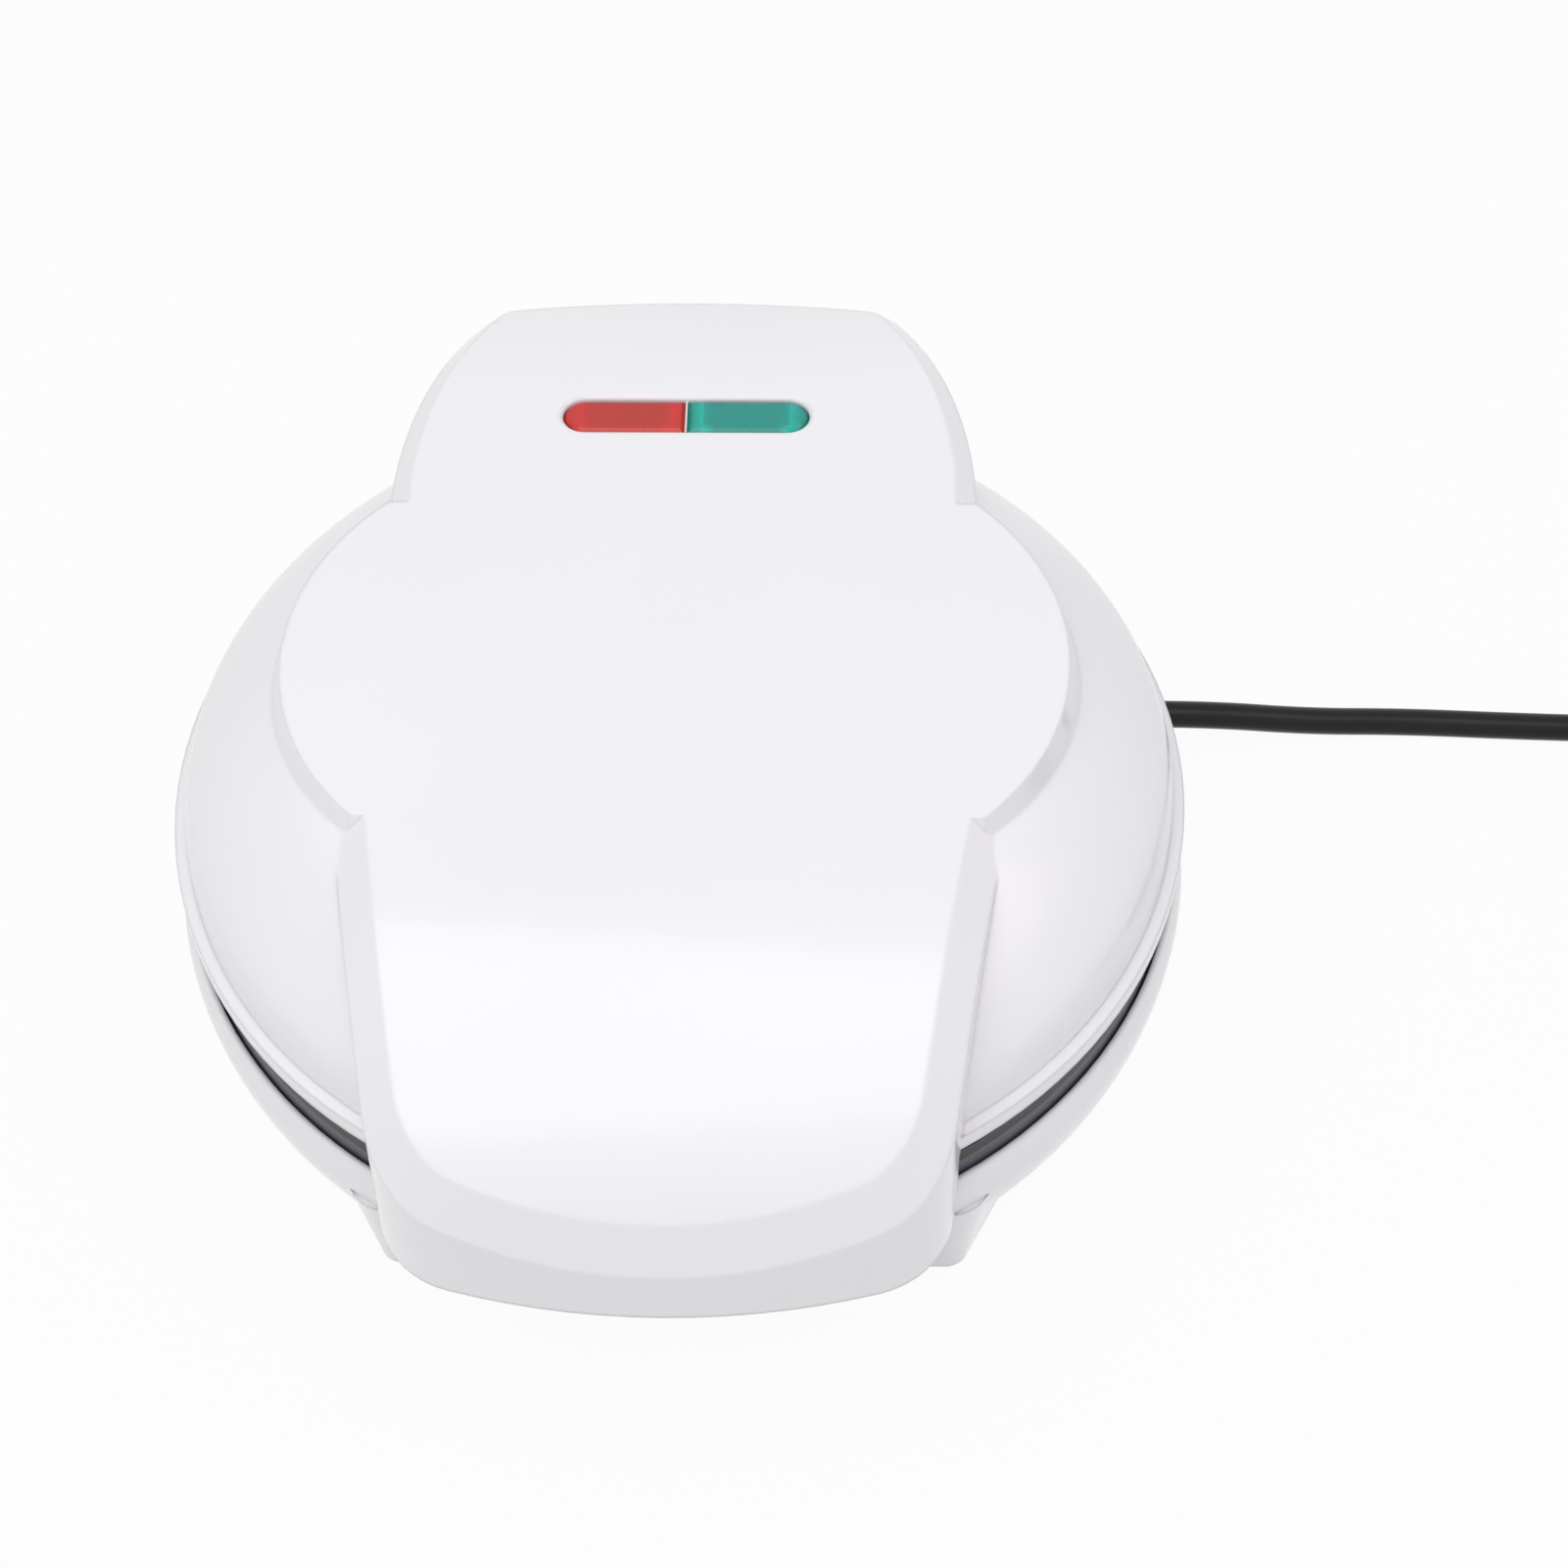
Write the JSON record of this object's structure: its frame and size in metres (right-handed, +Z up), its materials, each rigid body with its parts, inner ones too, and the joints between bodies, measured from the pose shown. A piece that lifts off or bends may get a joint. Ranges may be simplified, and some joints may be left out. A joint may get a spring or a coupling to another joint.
{
  "type": "mini donut maker",
  "caption": "Round clamshell cooker with a rear-hinged lid, ring cavities in both plates, two indicator lenses and a coiled mains lead.",
  "frame": {"origin": "centre of the body's footprint on the table, below the cooking plates", "axes": "X across the body to the right, Y from the front lip to the rear hinge, Z up"},
  "size_m": [0.4006, 0.234, 0.0885],
  "materials": {
    "white_shell": "glossy",
    "white_cover": "satin",
    "black_rubber": "matte",
    "grey_coating": "satin",
    "dark_coating": "satin",
    "screw_steel": "brushed",
    "heater_steel": "brushed",
    "shield_aluminium": "satin",
    "tan_resin": "matte",
    "glass_sleeve": "matte",
    "cord_black": "satin",
    "blade_brass": "satin",
    "red_lens": "glossy",
    "green_lens": "glossy",
    "lamp_glass": "glossy"
  },
  "bodies": {
    "base": {"base_shell": "white_shell", "bottom_cover": "white_cover", "bottom_cover_screws": "screw_steel", "rubber_feet": "black_rubber", "lower_plate": "grey_coating", "lower_plate_screws": "screw_steel", "lower_heater": "heater_steel", "lower_heater_clamps": "heater_steel", "lower_clamp_screws": "screw_steel", "lower_heat_shield": "shield_aluminium", "thermostat": "tan_resin", "thermal_fuse": "glass_sleeve", "terminal_block": "tan_resin", "base_leads": "glass_sleeve", "hinge_pins": "screw_steel", "strain_relief": "cord_black", "cord_lead": "cord_black", "cord_coil": "cord_black", "plug_body": "cord_black", "plug_blades": "blade_brass"},
    "lid": {"lid_shell": "white_shell", "handle_liner": "white_cover", "hinge_cover": "white_cover", "liner_screws": "screw_steel", "upper_plate": "dark_coating", "upper_plate_screws": "screw_steel", "upper_heater": "heater_steel", "upper_heater_clamps": "heater_steel", "upper_clamp_screws": "screw_steel", "upper_heat_shield": "shield_aluminium", "red_lens": "red_lens", "green_lens": "green_lens", "lamp_holder": "white_cover", "lamp_holder_screws": "screw_steel", "neon_lamps": "lamp_glass", "lid_leads": "glass_sleeve"}
  },
  "joints": [
    {"name": "lid_hinge", "type": "hinge", "parent": "base", "child": "lid", "pos_m": [0, 0.109, 0.056], "axis": [-1, 0, 0], "range_deg": [0, 100]}
  ]
}
